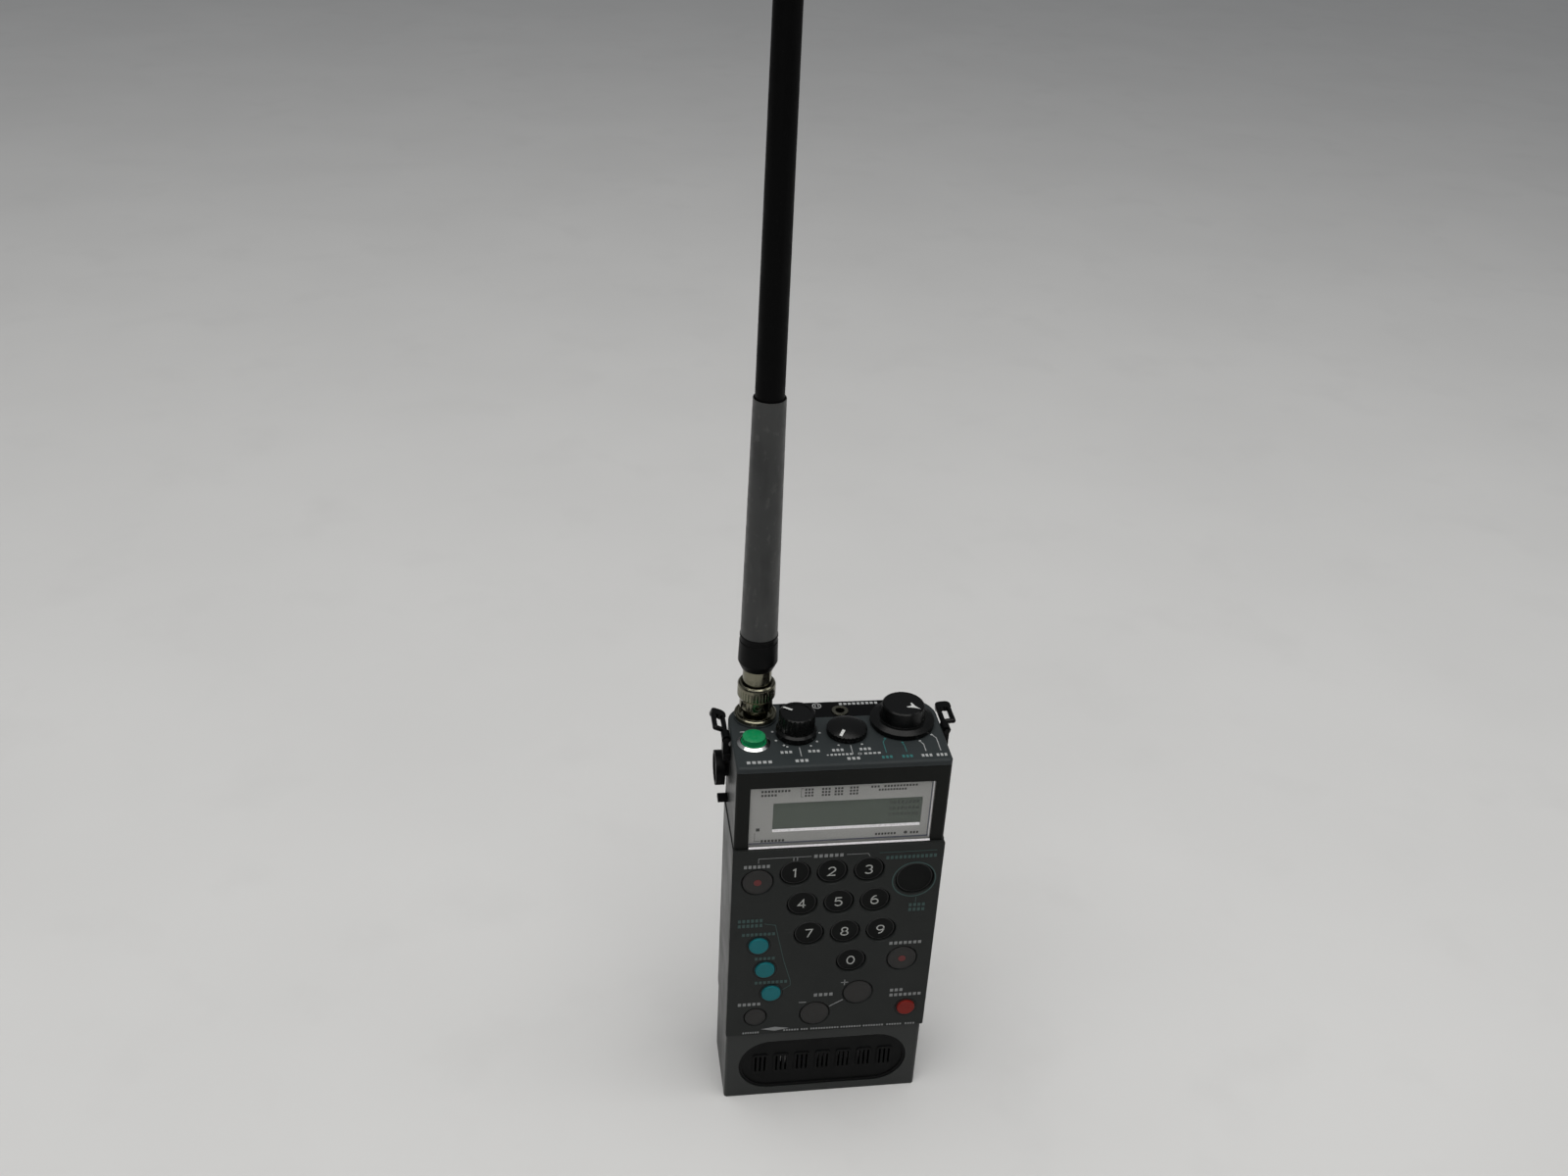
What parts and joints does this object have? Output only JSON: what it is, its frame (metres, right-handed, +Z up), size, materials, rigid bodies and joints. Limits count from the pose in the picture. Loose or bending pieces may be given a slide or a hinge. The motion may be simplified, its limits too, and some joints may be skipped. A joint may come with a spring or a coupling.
{
  "type": "handheld aviation radio",
  "caption": "Handheld aviation radio with keypad, small display, knobs and push switch on top, whip antenna on a bayonet socket, strap rings and battery bay.",
  "frame": {"origin": "centre of the case's bottom face", "axes": "+Z up along the case and the antenna, -Y towards the operator (keypad side), +X to the operator's right"},
  "size_m": [0.0949, 0.0429, 0.46],
  "materials": {
    "case_plastic": "fine textured moulding",
    "top_plastic": "fine textured moulding",
    "keypad_plate": "satin paint",
    "black_plastic": "satin",
    "window": "clear, polished",
    "frame_silver": "satin silver",
    "lcd_glass": "smooth",
    "speaker_metal": "satin",
    "key_rubber": "matte",
    "circuit_board": "lacquered",
    "tin_plate": "dull tin",
    "ferrite": "matte",
    "chrome": "bright",
    "power_green": "gloss",
    "pot_metal": "dull",
    "jack_brass": "dull",
    "aged_nickel": "worn nickel plate",
    "sleeve_tube": "translucent, mottled",
    "rod_rubber": "satin",
    "black_wire": "satin black",
    "cell_wrap": "printed film",
    "contact_metal": "plated",
    "key_black": "satin",
    "key_teal": "satin gloss",
    "key_grey": "satin",
    "key_red": "satin gloss"
  },
  "bodies": {
    "radio": {"front_case": "case_plastic", "rear_case": "case_plastic", "top_panel": "top_plastic", "keypad_panel": "keypad_plate", "jack_strip": "black_plastic", "speaker_grille": "black_plastic", "power_switch": "black_plastic", "strap_lugs": "black_plastic", "lcd_window": "window", "lcd_bezel": "frame_silver", "lcd_panel": "lcd_glass", "speaker": "speaker_metal", "key_mat": "key_rubber", "key_board": "circuit_board", "main_board": "circuit_board", "tuner_shield": "tin_plate", "case_screws": "tin_plate", "ferrite_antenna": "ferrite", "power_ring": "chrome", "control_pots": "pot_metal", "band_switch": "pot_metal", "earphone_jack": "jack_brass", "aux_antenna_jack": "jack_brass", "antenna_socket": "aged_nickel", "battery_cells": "cell_wrap", "battery_contacts": "contact_metal"},
    "power_cap": {"power_button": "power_green"},
    "volume": {"volume_knob": "black_plastic"},
    "squelch": {"squelch_knob": "black_plastic"},
    "band_selector": {"band_knob": "black_plastic"},
    "side_push": {"side_button": "black_plastic"},
    "side_slider": {"side_switch": "black_plastic"},
    "loop_left": {"strap_loop_left": "black_wire"},
    "loop_right": {"strap_loop_right": "black_wire"},
    "door": {"battery_door": "case_plastic"},
    "antenna": {"antenna_plug": "aged_nickel", "antenna_boot": "black_plastic", "antenna_sleeve": "sleeve_tube", "antenna_rod": "rod_rubber"},
    "coupling_nut": {"antenna_nut": "aged_nickel"},
    "key_0_cap": {"key_0": "key_black"},
    "key_1_cap": {"key_1": "key_black"},
    "key_2_cap": {"key_2": "key_black"},
    "key_3_cap": {"key_3": "key_black"},
    "key_4_cap": {"key_4": "key_black"},
    "key_5_cap": {"key_5": "key_black"},
    "key_6_cap": {"key_6": "key_black"},
    "key_7_cap": {"key_7": "key_black"},
    "key_8_cap": {"key_8": "key_black"},
    "key_9_cap": {"key_9": "key_black"},
    "key_preset_1_cap": {"key_preset_1": "key_teal"},
    "key_preset_2_cap": {"key_preset_2": "key_teal"},
    "key_preset_3_cap": {"key_preset_3": "key_teal"},
    "key_direct_cap": {"key_direct": "key_grey"},
    "key_memory_cap": {"key_memory": "key_black"},
    "key_execute_cap": {"key_execute": "key_grey"},
    "key_enter_cap": {"key_enter": "key_grey"},
    "key_scan_down_cap": {"key_scan_down": "key_grey"},
    "key_scan_up_cap": {"key_scan_up": "key_grey"},
    "key_lock_cap": {"key_lock": "key_red"}
  },
  "joints": [
    {"name": "power_press", "type": "slide", "parent": "radio", "child": "power_cap", "axis": [0, 0, -1], "range_m": [0, 0.0015], "stiffness_N_per_m": 700, "springref_m": -0.0006},
    {"name": "volume_turn", "type": "hinge", "parent": "radio", "child": "volume", "pos_m": [-0.0159, -0.0003, 0.175], "axis": [0, 0, 1], "range_deg": [-206, 96]},
    {"name": "squelch_turn", "type": "hinge", "parent": "radio", "child": "squelch", "pos_m": [0.0035, -0.0006, 0.173], "axis": [0, 0, 1], "range_deg": [-291, 10]},
    {"name": "band_turn", "type": "hinge", "parent": "radio", "child": "band_selector", "pos_m": [0.0258, 0.0044, 0.175], "axis": [0, 0, 1], "range_deg": [-90, 0]},
    {"name": "side_push_press", "type": "slide", "parent": "radio", "child": "side_push", "axis": [1, 0, 0], "range_m": [0, 0.0012], "stiffness_N_per_m": 500, "springref_m": -0.0005},
    {"name": "side_slider_slide", "type": "slide", "parent": "radio", "child": "side_slider", "axis": [0, 1, 0], "range_m": [0, 0.003]},
    {"name": "loop_left_swing", "type": "hinge", "parent": "radio", "child": "loop_left", "pos_m": [-0.0424, 0.0014, 0.17], "axis": [0, -1, 0], "range_deg": [-70, 105]},
    {"name": "loop_right_swing", "type": "hinge", "parent": "radio", "child": "loop_right", "pos_m": [0.0424, 0.0014, 0.17], "axis": [0, 1, 0], "range_deg": [-90, 85]},
    {"name": "door_open", "type": "hinge", "parent": "radio", "child": "door", "pos_m": [0, 0.0189, 0.0096], "axis": [-1, 0, 0], "range_deg": [0, 75]},
    {"name": "antenna_swivel", "type": "hinge", "parent": "radio", "child": "antenna", "pos_m": [-0.03, 0.012, 0.185], "axis": [0, 0, 1], "continuous": true},
    {"name": "nut_quarter_turn", "type": "hinge", "parent": "antenna", "child": "coupling_nut", "pos_m": [-0.03, 0.012, 0.182], "axis": [0, 0, 1], "range_deg": [0, 90]},
    {"name": "key_0_press", "type": "slide", "parent": "radio", "child": "key_0_cap", "axis": [0, 1, 0], "range_m": [0, 0.0008], "stiffness_N_per_m": 400, "springref_m": -0.0003},
    {"name": "key_1_press", "type": "slide", "parent": "radio", "child": "key_1_cap", "axis": [0, 1, 0], "range_m": [0, 0.0008], "stiffness_N_per_m": 400, "springref_m": -0.0003},
    {"name": "key_2_press", "type": "slide", "parent": "radio", "child": "key_2_cap", "axis": [0, 1, 0], "range_m": [0, 0.0008], "stiffness_N_per_m": 400, "springref_m": -0.0003},
    {"name": "key_3_press", "type": "slide", "parent": "radio", "child": "key_3_cap", "axis": [0, 1, 0], "range_m": [0, 0.0008], "stiffness_N_per_m": 400, "springref_m": -0.0003},
    {"name": "key_4_press", "type": "slide", "parent": "radio", "child": "key_4_cap", "axis": [0, 1, 0], "range_m": [0, 0.0008], "stiffness_N_per_m": 400, "springref_m": -0.0003},
    {"name": "key_5_press", "type": "slide", "parent": "radio", "child": "key_5_cap", "axis": [0, 1, 0], "range_m": [0, 0.0008], "stiffness_N_per_m": 400, "springref_m": -0.0003},
    {"name": "key_6_press", "type": "slide", "parent": "radio", "child": "key_6_cap", "axis": [0, 1, 0], "range_m": [0, 0.0008], "stiffness_N_per_m": 400, "springref_m": -0.0003},
    {"name": "key_7_press", "type": "slide", "parent": "radio", "child": "key_7_cap", "axis": [0, 1, 0], "range_m": [0, 0.0008], "stiffness_N_per_m": 400, "springref_m": -0.0003},
    {"name": "key_8_press", "type": "slide", "parent": "radio", "child": "key_8_cap", "axis": [0, 1, 0], "range_m": [0, 0.0008], "stiffness_N_per_m": 400, "springref_m": -0.0003},
    {"name": "key_9_press", "type": "slide", "parent": "radio", "child": "key_9_cap", "axis": [0, 1, 0], "range_m": [0, 0.0008], "stiffness_N_per_m": 400, "springref_m": -0.0003},
    {"name": "key_preset_1_press", "type": "slide", "parent": "radio", "child": "key_preset_1_cap", "axis": [0, 1, 0], "range_m": [0, 0.0008], "stiffness_N_per_m": 400, "springref_m": -0.0003},
    {"name": "key_preset_2_press", "type": "slide", "parent": "radio", "child": "key_preset_2_cap", "axis": [0, 1, 0], "range_m": [0, 0.0008], "stiffness_N_per_m": 400, "springref_m": -0.0003},
    {"name": "key_preset_3_press", "type": "slide", "parent": "radio", "child": "key_preset_3_cap", "axis": [0, 1, 0], "range_m": [0, 0.0008], "stiffness_N_per_m": 400, "springref_m": -0.0003},
    {"name": "key_direct_press", "type": "slide", "parent": "radio", "child": "key_direct_cap", "axis": [0, 1, 0], "range_m": [0, 0.0008], "stiffness_N_per_m": 400, "springref_m": -0.0003},
    {"name": "key_memory_press", "type": "slide", "parent": "radio", "child": "key_memory_cap", "axis": [0, 1, 0], "range_m": [0, 0.0008], "stiffness_N_per_m": 400, "springref_m": -0.0003},
    {"name": "key_execute_press", "type": "slide", "parent": "radio", "child": "key_execute_cap", "axis": [0, 1, 0], "range_m": [0, 0.0008], "stiffness_N_per_m": 400, "springref_m": -0.0003},
    {"name": "key_enter_press", "type": "slide", "parent": "radio", "child": "key_enter_cap", "axis": [0, 1, 0], "range_m": [0, 0.0008], "stiffness_N_per_m": 400, "springref_m": -0.0003},
    {"name": "key_scan_down_press", "type": "slide", "parent": "radio", "child": "key_scan_down_cap", "axis": [0, 1, 0], "range_m": [0, 0.0008], "stiffness_N_per_m": 400, "springref_m": -0.0003},
    {"name": "key_scan_up_press", "type": "slide", "parent": "radio", "child": "key_scan_up_cap", "axis": [0, 1, 0], "range_m": [0, 0.0008], "stiffness_N_per_m": 400, "springref_m": -0.0003},
    {"name": "key_lock_press", "type": "slide", "parent": "radio", "child": "key_lock_cap", "axis": [0, 1, 0], "range_m": [0, 0.0008], "stiffness_N_per_m": 400, "springref_m": -0.0003}
  ]
}
